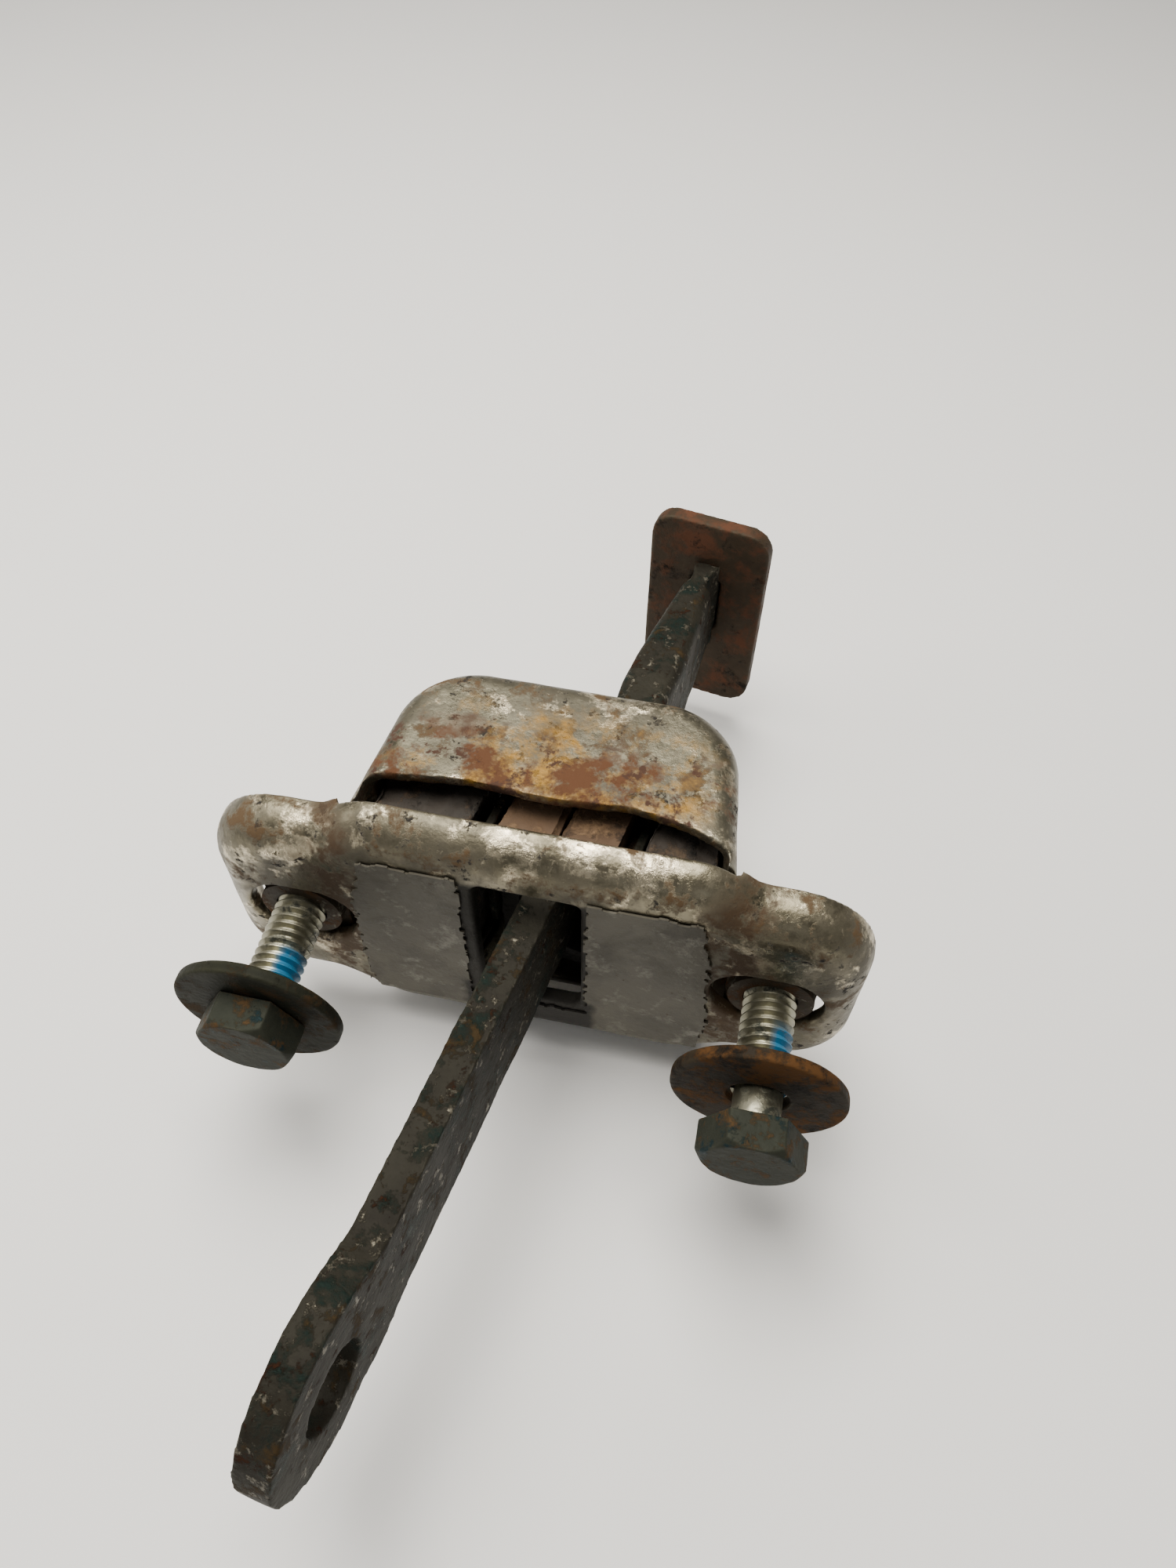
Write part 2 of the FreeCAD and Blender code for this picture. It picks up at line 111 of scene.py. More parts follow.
def apply_modifier(obj, kind, **settings):
    """Adds one modifier with its settings and applies it."""
    select_only(obj)
    modifier = obj.modifiers.new(kind.title(), kind)
    for key, value in settings.items():
        setattr(modifier, key, value)
    bpy.ops.object.modifier_apply(modifier=modifier.name)


def smooth(obj, degrees=35.0):
    """Shades an object smooth, apart from edges sharper than an angle."""
    select_only(obj)
    bpy.ops.object.shade_smooth_by_angle(angle=math.radians(degrees))


def cad_copy(node, name):
    """A merged copy of a CAD node's mesh, as a piece of its own."""
    select_only(NODES[node])
    bpy.ops.object.duplicate()
    obj = bpy.context.object
    bpy.ops.object.parent_clear(type="CLEAR_KEEP_TRANSFORM")
    obj.name = name
    edit(obj)
    bpy.ops.mesh.select_all(action="SELECT")
    bpy.ops.mesh.remove_doubles(threshold=MERGE_DISTANCE)
    bpy.ops.mesh.dissolve_limited(angle_limit=FLAT_ANGLE)
    bpy.ops.object.mode_set(mode="OBJECT")
    return obj


def body_of_node(node):
    """Name of the body that holds a CAD node."""
    for body, nodes in frame["record"]["behaviour"]["bodies"].items():
        if node in nodes:
            return body
    raise ValueError("no body holds " + node)


def finish_piece(obj, node, material):
    """Gives a piece its material and lets it stand for a CAD node on the same body."""
    obj.data.materials.clear()
    obj.data.materials.append(material)
    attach(obj, body_of_node(node))
    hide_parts(node)


# ---- shader building blocks ----

class Nodes:
    """Short way to add and link shader nodes in one tree."""

    def __init__(self, tree):
        self.tree = tree

    def add(self, kind, **settings):
        """Adds a node; a setting is one of its inputs or one of its properties."""
        node = self.tree.nodes.new(kind)
        for key, value in settings.items():
            if key in node.inputs:
                node.inputs[key].default_value = value
            else:
                setattr(node, key, value)
        return node

    def link(self, start, end):
        """Links an output to an input."""
        self.tree.links.new(start, end)

    def put(self, socket, value):
        """Links an input to an output, or gives it a plain value."""
        if isinstance(value, bpy.types.NodeSocket):
            self.link(value, socket)
        else:
            socket.default_value = value

    def place(self):
        """Each point's place, in the piece's own coordinates."""
        return self.add("ShaderNodeTexCoord").outputs["Object"]

    def split(self, vector):
        """A vector's three parts, in the order X, Y, Z."""
        node = self.add("ShaderNodeSeparateXYZ")
        self.link(vector, node.inputs[0])
        return node.outputs

    def math(self, operation, first, second, clamp=False):
        """Result of one operation on two values."""
        node = self.add("ShaderNodeMath", operation=operation, use_clamp=clamp)
        self.put(node.inputs[0], first)
        self.put(node.inputs[1], second)
        return node.outputs[0]

    def mix(self, factor, first, second):
        """Colour between two colours, by a mask."""
        node = self.add("ShaderNodeMix", data_type="RGBA")
        # A Mix node's colour sockets are inputs 6 and 7 and output 2.
        for index, value in ((0, factor), (6, first), (7, second)):
            self.put(node.inputs[index], value)
        return node.outputs[2]

    def blend(self, factor, first, second):
        """Value between two numbers, by a mask."""
        node = self.add("ShaderNodeMapRange", clamp=True)
        for index, value in ((0, factor), (3, first), (4, second)):
            self.put(node.inputs[index], value)
        return node.outputs[0]

    def ramp(self, value, low, high):
        """Mask that goes from 0 at low to 1 at high; low may be the larger."""
        node = self.add("ShaderNodeMapRange", clamp=True)
        for index, setting in enumerate((value, low, high)):
            self.put(node.inputs[index], setting)
        return node.outputs[0]


def new_group(name, inputs, outputs):
    """Empty node group with named sockets."""
    group = bpy.data.node_groups.new(name, "ShaderNodeTree")
    for label, kind, default in inputs:
        socket = group.interface.new_socket(name=label, in_out="INPUT", socket_type=kind)
        socket.default_value = default
    for label, kind in outputs:
        group.interface.new_socket(name=label, in_out="OUTPUT", socket_type=kind)
    nodes = Nodes(group)
    return group, nodes, nodes.add("NodeGroupInput"), nodes.add("NodeGroupOutput")


def patches_group():
    """Ragged patches: a broad cloud broken up by a fine one."""
    group, n, start, end = new_group(
        "Ragged Patches",
        [("Scale", "NodeSocketFloat", 60.0), ("Cover", "NodeSocketFloat", 0.4),
         ("Softness", "NodeSocketFloat", 0.05), ("Shift", "NodeSocketFloat", 0.0)],
        [("Mask", "NodeSocketFloat")])
    shift = n.add("ShaderNodeCombineXYZ")
    for axis in (X, Y, Z):
        n.link(start.outputs["Shift"], shift.inputs[axis])
    moved = n.add("ShaderNodeVectorMath", operation="ADD")
    n.link(n.place(), moved.inputs[0])
    n.link(shift.outputs[0], moved.inputs[1])
    broad = n.add("ShaderNodeTexNoise", Detail=9.0, Roughness=0.62, Distortion=0.35)
    fine = n.add("ShaderNodeTexNoise", Detail=6.0, Roughness=0.7)
    n.link(moved.outputs[0], broad.inputs["Vector"])
    n.link(moved.outputs[0], fine.inputs["Vector"])
    n.link(start.outputs["Scale"], broad.inputs["Scale"])
    n.link(n.math("MULTIPLY", start.outputs["Scale"], 5.3), fine.inputs["Scale"])
    broken = n.math("ADD", broad.outputs[0],
                    n.math("MULTIPLY", n.math("SUBTRACT", fine.outputs[0], 0.5), 0.38))
    edge = n.math("SUBTRACT", 1.0, start.outputs["Cover"])
    low = n.math("SUBTRACT", edge, start.outputs["Softness"])
    high = n.math("ADD", edge, start.outputs["Softness"])
    n.link(n.ramp(broken, low, high), end.inputs["Mask"])
    return group


def edge_group():
    """Worn edges: where the rounded normal leaves the surface's own normal."""
    group, n, start, end = new_group(
        "Worn Edges",
        [("Radius", "NodeSocketFloat", 0.0006), ("Strength", "NodeSocketFloat", 3.0)],
        [("Mask", "NodeSocketFloat")])
    surface = n.add("ShaderNodeNewGeometry")
    rounded = n.add("ShaderNodeBevel", samples=6)
    n.link(start.outputs["Radius"], rounded.inputs["Radius"])
    dot = n.add("ShaderNodeVectorMath", operation="DOT_PRODUCT")
    n.link(rounded.outputs[0], dot.inputs[0])
    n.link(surface.outputs["Normal"], dot.inputs[1])
    turned = n.math("SUBTRACT", 1.0, dot.outputs["Value"])
    breakup = n.add("ShaderNodeTexNoise", Scale=900.0, Detail=4.0)
    n.link(n.place(), breakup.inputs["Vector"])
    worn = n.math("MULTIPLY", turned, start.outputs["Strength"])
    worn = n.math("MULTIPLY", worn, n.math("ADD", breakup.outputs[0], 0.35), clamp=True)
    n.link(worn, end.inputs["Mask"])
    return group


def streaks_group():
    """Fine drawn lines and scratches along Y."""
    group, n, start, end = new_group(
        "Scratches",
        [("Scale", "NodeSocketFloat", 400.0), ("Stretch", "NodeSocketFloat", 0.08)],
        [("Value", "NodeSocketFloat")])
    squeeze = n.add("ShaderNodeCombineXYZ")
    squeeze.inputs[0].default_value = 1.0
    squeeze.inputs[2].default_value = 1.0
    n.link(start.outputs["Stretch"], squeeze.inputs[1])
    stretched = n.add("ShaderNodeVectorMath", operation="MULTIPLY")
    n.link(n.place(), stretched.inputs[0])
    n.link(squeeze.outputs[0], stretched.inputs[1])
    lines = n.add("ShaderNodeTexNoise", Detail=5.0, Roughness=0.65)
    n.link(stretched.outputs[0], lines.inputs["Vector"])
    n.link(start.outputs["Scale"], lines.inputs["Scale"])
    n.link(lines.outputs[0], end.inputs["Value"])
    return group


def grain_group():
    """Fine grain over a whole surface."""
    group, n, start, end = new_group(
        "Grain", [("Scale", "NodeSocketFloat", 1500.0)], [("Value", "NodeSocketFloat")])
    specks = n.add("ShaderNodeTexNoise", Detail=4.0)
    n.link(n.place(), specks.inputs["Vector"])
    n.link(start.outputs["Scale"], specks.inputs["Scale"])
    n.link(specks.outputs[0], end.inputs["Value"])
    return group


def box_group():
    """Inside of a box along the axes, with an uneven fade round it."""
    group, n, start, end = new_group(
        "Box",
        [("Low", "NodeSocketVector", (-1.0, -1.0, -1.0)),
         ("High", "NodeSocketVector", (1.0, 1.0, 1.0)), ("Fade", "NodeSocketFloat", 0.0005)],
        [("Mask", "NodeSocketFloat")])
    fade = start.outputs["Fade"]
    wobble = n.math("SUBTRACT", group_node(n, "grain", Scale=700.0), 0.5)
    shift = n.math("MULTIPLY", wobble, n.math("MULTIPLY", fade, 3.0))
    place = n.split(n.place())
    low = n.split(start.outputs["Low"])
    high = n.split(start.outputs["High"])
    mask = 1.0
    for axis in (X, Y, Z):
        moved = n.math("ADD", place[axis], shift)
        rise = n.ramp(moved, n.math("SUBTRACT", low[axis], fade),
                      n.math("ADD", low[axis], fade))
        fall = n.ramp(moved, n.math("ADD", high[axis], fade),
                      n.math("SUBTRACT", high[axis], fade))
        mask = n.math("MULTIPLY", mask, n.math("MULTIPLY", rise, fall))
    n.link(mask, end.inputs["Mask"])
    return group


def locking_group():
    """Ragged locking patch on the +X side of a thread that lies along Y."""
    group, n, start, end = new_group(
        "Locking Patch",
        [("Middle", "NodeSocketFloat", 0.0), ("Start", "NodeSocketFloat", 0.0),
         ("End", "NodeSocketFloat", 0.01)],
        [("Mask", "NodeSocketFloat")])
    place = n.split(n.place())
    middle, first, last = (start.outputs[label] for label in ("Middle", "Start", "End"))
    across = n.ramp(place[X], n.math("ADD", middle, 0.2 * MM), n.math("ADD", middle, 1.3 * MM))
    begin = n.ramp(place[Y], first, n.math("ADD", first, 0.6 * MM))
    finish = n.ramp(place[Y], last, n.math("SUBTRACT", last, 1.5 * MM))
    mask = n.math("MULTIPLY", n.math("MULTIPLY", across, begin), finish)
    ragged = group_node(n, "patches", Scale=260.0, Cover=0.62, Softness=0.08, Shift=4.0)
    mask = n.math("MULTIPLY", mask, n.math("ADD", ragged, 0.35), clamp=True)
    n.link(mask, end.inputs["Mask"])
    return group


GROUPS = {}


def group_node(n, name, **values):
    """Places a shared group in a material with its own values."""
    builders = {"patches": patches_group, "edges": edge_group, "streaks": streaks_group,
                "grain": grain_group, "box": box_group, "locking": locking_group}
    if name not in GROUPS:
        GROUPS[name] = builders[name]()
    node = n.add("ShaderNodeGroup")
    node.node_tree = GROUPS[name]
    for key, value in values.items():
        node.inputs[key].default_value = value
    return node.outputs[0]


def layered_finish(name, ground, layers, rough, metallic, bump, wear=None, streak=0.25,
                   gloss=0.5):
    """Material in two ground tones with ragged layers on top.

    ground: two colours; layers: (colour, scale, cover, softness, roughness, metallic, shift);
    rough: lowest and highest roughness; wear: the worn edges' (colour, radius, strength).
    """
    made = bpy.data.materials.new(name)
    made.use_nodes = True
    n = Nodes(made.node_tree)
    shader = n.tree.nodes["Principled BSDF"]
    shader.inputs["Specular IOR Level"].default_value = gloss
    tone = group_node(n, "patches", Scale=85.0, Cover=0.5, Softness=0.22, Shift=3.1)
    colour = n.mix(tone, ground[0], ground[1])
    lines = group_node(n, "streaks", Scale=420.0, Stretch=0.12)
    shade = n.blend(lines, 1.0 - streak, 1.0 + streak)
    tinted = n.add("ShaderNodeVectorMath", operation="SCALE")
    n.link(colour, tinted.inputs[0])
    n.link(shade, tinted.inputs["Scale"])
    colour = tinted.outputs[0]
    roughness = n.blend(lines, rough[0], rough[1])
    metal = n.math("ADD", n.math("MULTIPLY", lines, 0.02), metallic)
    height = n.math("MULTIPLY", lines, 0.25)
    if wear:
        mask = group_node(n, "edges", Radius=wear[1], Strength=wear[2])
        colour = n.mix(mask, colour, wear[0])
        roughness = n.blend(mask, roughness, 0.35)
    for layer_colour, scale, cover, softness, layer_rough, layer_metal, shift in layers:
        mask = group_node(n, "patches", Scale=scale, Cover=cover, Softness=softness, Shift=shift)
        colour = n.mix(mask, colour, layer_colour)
        roughness = n.blend(mask, roughness, layer_rough)
        metal = n.blend(mask, metal, layer_metal)
        height = n.math("ADD", height, n.math("MULTIPLY", mask, 0.5))
    grain = group_node(n, "grain", Scale=1500.0)
    height = n.math("ADD", height, n.math("MULTIPLY", grain, 0.5))
    relief = n.add("ShaderNodeBump", Strength=bump, Distance=0.0002)
    n.link(height, relief.inputs["Height"])
    n.link(relief.outputs[0], shader.inputs["Normal"])
    n.link(colour, shader.inputs["Base Color"])
    n.link(roughness, shader.inputs["Roughness"])
    n.link(metal, shader.inputs["Metallic"])
    return made


def rgb(red, green, blue):
    """Opaque colour."""
    return (red, green, blue, 1.0)


RUST = rgb(0.050, 0.020, 0.009)
OCHRE = rgb(0.25, 0.135, 0.020)
GRIME = rgb(0.014, 0.011, 0.008)
MATERIALS = {}


def material(name):
    """One of the object's finishes, made on first use."""
    if name not in MATERIALS:
        MATERIALS[name] = FINISHES[name](name)
    return MATERIALS[name]


ZINC_GROUND = (rgb(0.27, 0.243, 0.174), rgb(0.090, 0.080, 0.052))
ZINC_LAYERS = [
    (rgb(0.090, 0.080, 0.056), 95.0, 0.47, 0.10, 0.58, 0.45, 0.0),
    (rgb(0.66, 0.58, 0.42), 140.0, 0.40, 0.06, 0.20, 0.97, 6.1),
    (rgb(0.085, 0.050, 0.020), 230.0, 0.40, 0.05, 0.80, 0.10, 1.9),
    (GRIME, 420.0, 0.37, 0.03, 0.90, 0.0, 5.2),
]
COVER_GROUND = (rgb(0.20, 0.186, 0.138), rgb(0.088, 0.080, 0.054))


def rusted_zinc_with_shade(name):
    """Plating gone brown with rust, its dark tones also painted shade for the hollow behind the
    plate where the nuts and cages sit.
    """
    return layered_finish(
        # Dark ground: brown rust, darkened further as painted shade of the hollow behind the ears.
        name, (rgb(0.060, 0.046, 0.030), rgb(0.026, 0.020, 0.014)),
        [(rgb(0.075, 0.036, 0.014), 260.0, 0.45, 0.06, 0.85, 0.0, 3.7),
         (rgb(0.16, 0.15, 0.12), 420.0, 0.36, 0.04, 0.5, 0.6, 0.6)],
        (0.5, 0.7), 0.3, bump=0.6, gloss=0.15)


# Limits for an axis that a box leaves open, in metres: far beyond the object.
EVERYWHERE = (-1.0, 1.0)


def box_mask(n, ranges, fade):
    """Mask that is 1 inside a box given by axis and fades out round it."""
    low, high = zip(*(ranges.get(axis, EVERYWHERE) for axis in (X, Y, Z)))
    return group_node(n, "box", Low=low, High=high, Fade=fade)


def patchy_box(n, ranges, fade, scale, cover, softness, shift):
    """Ragged patches that only show inside a box."""
    patches = group_node(n, "patches", Scale=scale, Cover=cover, Softness=softness, Shift=shift)
    return n.math("MULTIPLY", patches, box_mask(n, ranges, fade))


def repaint(made, mask_of, colour, roughness, metallic):
    """Lays one more tone over a finished material, through a mask.

    A colour, roughness or metallic of None leaves that input as it was.
    """
    n = Nodes(made.node_tree)
    shader = n.tree.nodes["Principled BSDF"]
    mask = mask_of(n)
    for label, value in (("Base Color", colour), ("Roughness", roughness),
                         ("Metallic", metallic)):
        if value is None:
            continue
        socket = shader.inputs[label]
        before = socket.links[0].from_socket
        layer = n.mix if label == "Base Color" else n.blend
        n.link(layer(mask, before, value), socket)


def plate_zinc(name):
    """Zinc with grime and painted shade round the arm slot, and compound on the lower bend."""
    made = layered_finish(name, ZINC_GROUND, ZINC_LAYERS, (0.22, 0.40), 0.9, bump=0.45,
                          wear=(rgb(0.66, 0.58, 0.40), 0.0008, 2.4))
    compound = {X: (-20.5 * MM, 20.5 * MM), Z: (-30 * MM, -13.6 * MM)}
    repaint(made, lambda n: box_mask(n, compound, 0.8 * MM), rgb(0.110, 0.102, 0.078), 0.55, 0.35)
    # Near-black band over the slot and the face below it: dark grime, with painted shade in the
    # slot and painted shadow of the arm below it.
    slot_shade_and_grime = {X: (-7.9 * MM, 7.3 * MM), Z: (-20.0 * MM, 13.0 * MM)}
    repaint(made, lambda n: box_mask(n, slot_shade_and_grime, 0.5 * MM), rgb(0.016, 0.014, 0.010), 0.75, 0.1)
    for low, high, shift in ((-24.5, -19.0, 2.4), (19.0, 25.5, 7.3)):
        bend = {X: (low * MM, high * MM), Z: (-14 * MM, 17 * MM)}
        repaint(made, lambda n: patchy_box(n, bend, 1.5 * MM, 210.0, 0.53, 0.05, shift),
                rgb(0.060, 0.034, 0.014), 0.78, 0.1)
    return made


def cover_zinc(name):
    """Zinc that is rusted ochre and red-brown across the middle of the cover's top."""
    made = layered_finish(name, COVER_GROUND, ZINC_LAYERS, (0.26, 0.46), 0.85, bump=0.45,
                          wear=(rgb(0.50, 0.49, 0.42), 0.0008, 2.0))
    top = {X: (-19 * MM, 16 * MM), Y: (9.0 * MM, 21.0 * MM), Z: (10 * MM, 20 * MM)}
    low = {X: (-21 * MM, 21 * MM), Y: (8.0 * MM, 18.0 * MM), Z: (5 * MM, 20 * MM)}
    repaint(made, lambda n: patchy_box(n, top, 2.2 * MM, 115.0, 0.49, 0.07, 7.7),
            OCHRE, 0.50, 0.5)
    repaint(made, lambda n: patchy_box(n, low, 2.0 * MM, 150.0, 0.455, 0.05, 3.4),
            rgb(0.085, 0.030, 0.007), 0.85, 0.0)
    repaint(made, lambda n: patchy_box(n, low, 2.0 * MM, 230.0, 0.42, 0.03, 2.6), RUST, 0.88, 0.0)
    return made


def dark_steel(name):
    """Dark steel of the arm and the pressure plates, with dull spots."""
    return layered_finish(
        name, (rgb(0.013, 0.0115, 0.009), rgb(0.029, 0.027, 0.020)),
        [(rgb(0.009, 0.017, 0.014), 230.0, 0.41, 0.07, 0.55, 0.3, 2.2),
         (rgb(0.040, 0.027, 0.013), 300.0, 0.38, 0.05, 0.8, 0.1, 4.4),
         (rgb(0.028, 0.012, 0.006), 330.0, 0.35, 0.04, 0.85, 0.0, 9.4),
         (rgb(0.14, 0.128, 0.10), 560.0, 0.37, 0.04, 0.45, 0.5, 6.6)],
        (0.48, 0.70), 0.12, bump=0.9, gloss=0.08,
        wear=(rgb(0.105, 0.100, 0.075), 0.0006, 1.8))


def stop_steel(name):
    """Brownish steel of the stop plate, with worn edges."""
    return layered_finish(
        name, (rgb(0.034, 0.024, 0.016), rgb(0.060, 0.043, 0.028)),
        [(rgb(0.095, 0.042, 0.024), 170.0, 0.44, 0.08, 0.8, 0.05, 1.1),
         (GRIME, 300.0, 0.37, 0.06, 0.8, 0.1, 3.3)],
        (0.50, 0.70), 0.12, bump=0.6, gloss=0.10,
        wear=(rgb(0.095, 0.095, 0.065), 0.0009, 2.5))


def fastener(name):
    """Bright metal of the bolts' necks and threads."""
    return layered_finish(
        name, (rgb(0.36, 0.35, 0.27), rgb(0.20, 0.19, 0.14)),
        [(rgb(0.035, 0.038, 0.028), 300.0, 0.40, 0.06, 0.6, 0.3, 2.0)],
        (0.28, 0.45), 0.9, bump=0.3)


def bolt_head(name):
    """Blackened bolt heads with worn edges."""
    return layered_finish(
        name, (rgb(0.017, 0.020, 0.015), rgb(0.030, 0.032, 0.024)),
        [(rgb(0.062, 0.037, 0.017), 420.0, 0.42, 0.06, 0.75, 0.1, 0.7),
         (rgb(0.009, 0.021, 0.024), 380.0, 0.37, 0.05, 0.5, 0.3, 8.0)],
        (0.50, 0.68), 0.15, bump=0.6, gloss=0.08,
        wear=(rgb(0.13, 0.125, 0.088), 0.0005, 2.6))


def washer_metal(name):
    """Blackened washer with brown spots and worn edges."""
    return layered_finish(
        name, (rgb(0.020, 0.021, 0.014), rgb(0.011, 0.012, 0.009)),
        [(rgb(0.038, 0.024, 0.012), 280.0, 0.42, 0.07, 0.85, 0.05, 5.5),
         (rgb(0.012, 0.011, 0.008), 330.0, 0.37, 0.06, 0.7, 0.2, 1.4)],
        (0.52, 0.70), 0.1, bump=0.7, gloss=0.08,
        wear=(rgb(0.12, 0.115, 0.068), 0.0007, 3.0))


def rusty_washer(name):
    """Washer that has gone brown with rust."""
    return layered_finish(
        name, (rgb(0.030, 0.022, 0.014), rgb(0.018, 0.015, 0.011)),
        [(rgb(0.080, 0.038, 0.014), 240.0, 0.46, 0.06, 0.85, 0.05, 5.5),
         (rgb(0.012, 0.010, 0.008), 330.0, 0.38, 0.06, 0.7, 0.1, 1.4)],
        (0.55, 0.72), 0.1, bump=0.8, gloss=0.08, wear=(rgb(0.12, 0.10, 0.065), 0.0007, 3.0))


def film_compound(name):
    """Grey sealing compound, near black below the arm slot with grime and painted shadow of the
    arm.
    """
    made = layered_finish(
        name, (rgb(0.088, 0.080, 0.057), rgb(0.064, 0.057, 0.040)),
        [(rgb(0.060, 0.054, 0.040), 130.0, 0.42, 0.10, 0.7, 0.0, 4.9),
         (rgb(0.18, 0.17, 0.14), 240.0, 0.37, 0.08, 0.5, 0.3, 2.7),
         (rgb(0.055, 0.036, 0.018), 330.0, 0.30, 0.03, 0.8, 0.0, 8.8)],
        (0.45, 0.62), 0.25, bump=0.5, streak=0.10)
    # Near-black strip under the arm slot: dark grime, with painted shadow of the arm.
    arm_shadow_and_grime_below_slot = {X: (-8.2 * MM, 7.6 * MM), Z: (-30 * MM, -8.0 * MM)}
    repaint(made, lambda n: box_mask(n, arm_shadow_and_grime_below_slot, 0.5 * MM), rgb(0.014, 0.012, 0.009), 0.8, 0.05)
    return made


def rubber(name):
    """Black rubber with brown dust on it."""
    return layered_finish(
        name, (rgb(0.017, 0.014, 0.011), rgb(0.040, 0.030, 0.022)),
        [(rgb(0.11, 0.070, 0.040), 300.0, 0.36, 0.08, 0.9, 0.0, 3.9),
         (rgb(0.006, 0.005, 0.004), 330.0, 0.36, 0.06, 0.85, 0.0, 0.9)],
        (0.7, 0.9), 0.0, bump=1.0)


def dusty_block_with_shade(name):
    """Brown dust on the pieces in the window, with near-black painted shade on them below the
    window's edge, deep in the housing.
    """
    made = layered_finish(
        name, (rgb(0.130, 0.076, 0.040), rgb(0.070, 0.041, 0.023)),
        [(rgb(0.24, 0.150, 0.080), 330.0, 0.40, 0.08, 0.92, 0.0, 3.9),
         (rgb(0.012, 0.008, 0.006), 260.0, 0.38, 0.06, 0.85, 0.0, 0.9)],
        (0.75, 0.92), 0.0, bump=1.0)
    # Everything below this height, deep in the housing under the cover, is painted near black as
    # shade.
    painted_shade_below_window = {X: (-30 * MM, 30 * MM), Z: (-30 * MM, 8.6 * MM)}
    repaint(made, lambda n: box_mask(n, painted_shade_below_window, 0.8 * MM), rgb(0.006, 0.005, 0.004), 0.9, 0.0)
    return made


FINISHES = {
    "Zinc Plate": plate_zinc, "Zinc Cover": cover_zinc, "Rusted Zinc With Shade": rusted_zinc_with_shade,
    "Dark Steel": dark_steel, "Stop Steel": stop_steel,
    "Fastener": fastener, "Bolt Head": bolt_head, "Washer Metal": washer_metal,
    "Rusty Washer": rusty_washer,
    "Film Compound": film_compound, "Rubber": rubber, "Dusty Block With Shade": dusty_block_with_shade,
}


# ---- the pieces ----

class DoorCheckSettings(bpy.types.PropertyGroup):
    """Sizes and counts that a user would change."""
    thread_pitch: bpy.props.FloatProperty(
        name="Thread pitch", description="Distance from crest to crest", default=0.001,
        unit="LENGTH")
    thread_steps: bpy.props.IntProperty(
        name="Thread steps", description="Faces round one turn of the thread", default=32)
    film_cell: bpy.props.FloatProperty(
        name="Film grain", description="Size of the tears in the film's edge",
        default=0.0003, unit="LENGTH")


def rounded_copy(node, finish, width):
    """Copy of a CAD node with small roundings on its sharp edges."""
    obj = cad_copy(node, node + "_shown")
    apply_modifier(obj, "BEVEL", width=width, segments=2, limit_method="ANGLE",
                   angle_limit=math.radians(32), harden_normals=False)
    smooth(obj)
    finish_piece(obj, node, material(finish))


def dents(name, size):
    """Cloud texture that a Displace modifier reads."""
    texture = bpy.data.textures.new(name, "CLOUDS")
    texture.noise_scale = size
    texture.noise_depth = 3
    return texture


def weather(obj, cell, depth, size, soften):
    """Softens a mesh's edges and wears its surface inwards by up to depth."""
    apply_modifier(obj, "REMESH", mode="VOXEL", voxel_size=cell, use_smooth_shade=True)
    apply_modifier(obj, "SMOOTH", factor=0.5, iterations=soften)
    apply_modifier(obj, "DISPLACE", texture=dents(obj.name + "_dents", size),
                   texture_coords="LOCAL", strength=depth, mid_level=1.0)
    select_only(obj)
    bpy.ops.object.shade_smooth()


def worn_copy(node, finish, cell, depth, size, soften=3):
    """Copy of a CAD node with softened, slightly dented surfaces."""
    obj = cad_copy(node, node + "_shown")
    weather(obj, cell, depth, size, soften)
    finish_piece(obj, node, material(finish))


class DOORCHECK_OT_plate_and_cover(bpy.types.Operator):
    """Finish the zinc-plated plate, cover and nut cages"""
    bl_idname = "doorcheck.plate_and_cover"
    bl_label = "Plate and Cover"

    def execute(self, context):
        worn_copy("mounting_plate", "Zinc Plate", cell=0.36 * MM, depth=0.16 * MM,
                  size=6.0 * MM, soften=2)
        worn_copy("housing_cover", "Zinc Cover", cell=0.34 * MM, depth=0.16 * MM,
                  size=6.0 * MM, soften=2)
        for side in SIDES:
            rounded_copy(side + "_nut_cage", "Rusted Zinc With Shade", 0.15 * MM)
        return {"FINISHED"}


# Where the arm is thick, from and to along Y, and the rounding of its long edges there.
SWELLING = (14.0 * MM, 58.0 * MM)
SWELLING_ROUND = 1.5 * MM


def swell_edges(arm):
    """Rounds the long edges of the arm's thick rear part, as forging leaves them."""
    edit(arm, "EDGE")
    bpy.ops.object.mode_set(mode="OBJECT")
    places = [vertex.co for vertex in arm.data.vertices]
    top = max(place.z for place in places if place.y > SWELLING[0])
    low = min(place.z for place in places if place.y > SWELLING[0])
    for edge in arm.data.edges:
        ends = [places[index] for index in edge.vertices]
        inside = all(SWELLING[0] < end.y < SWELLING[1] for end in ends)
        level = any(all(abs(end.z - height) < SAME_PLACE for end in ends)
                    for height in (top, low))
        edge.select = inside and level and abs(ends[0].y - ends[1].y) > SAME_PLACE
    bpy.ops.object.mode_set(mode="EDIT")
    bpy.ops.mesh.bevel(offset=SWELLING_ROUND, segments=5, affect="EDGES")
    bpy.ops.object.mode_set(mode="OBJECT")


class DOORCHECK_OT_arm(bpy.types.Operator):
    """Round and finish the check arm and its stop plate"""
    bl_idname = "doorcheck.arm"
    bl_label = "Check Arm"

    def execute(self, context):
        arm = cad_copy("check_arm", "check_arm_shown")
        swell_edges(arm)
        weather(arm, cell=0.30 * MM, depth=0.25 * MM, size=5.0 * MM, soften=4)
        finish_piece(arm, "check_arm", material("Dark Steel"))
        worn_copy("stop_plate", "Stop Steel", cell=0.26 * MM, depth=0.15 * MM,
                  size=5.0 * MM, soften=4)
        return {"FINISHED"}


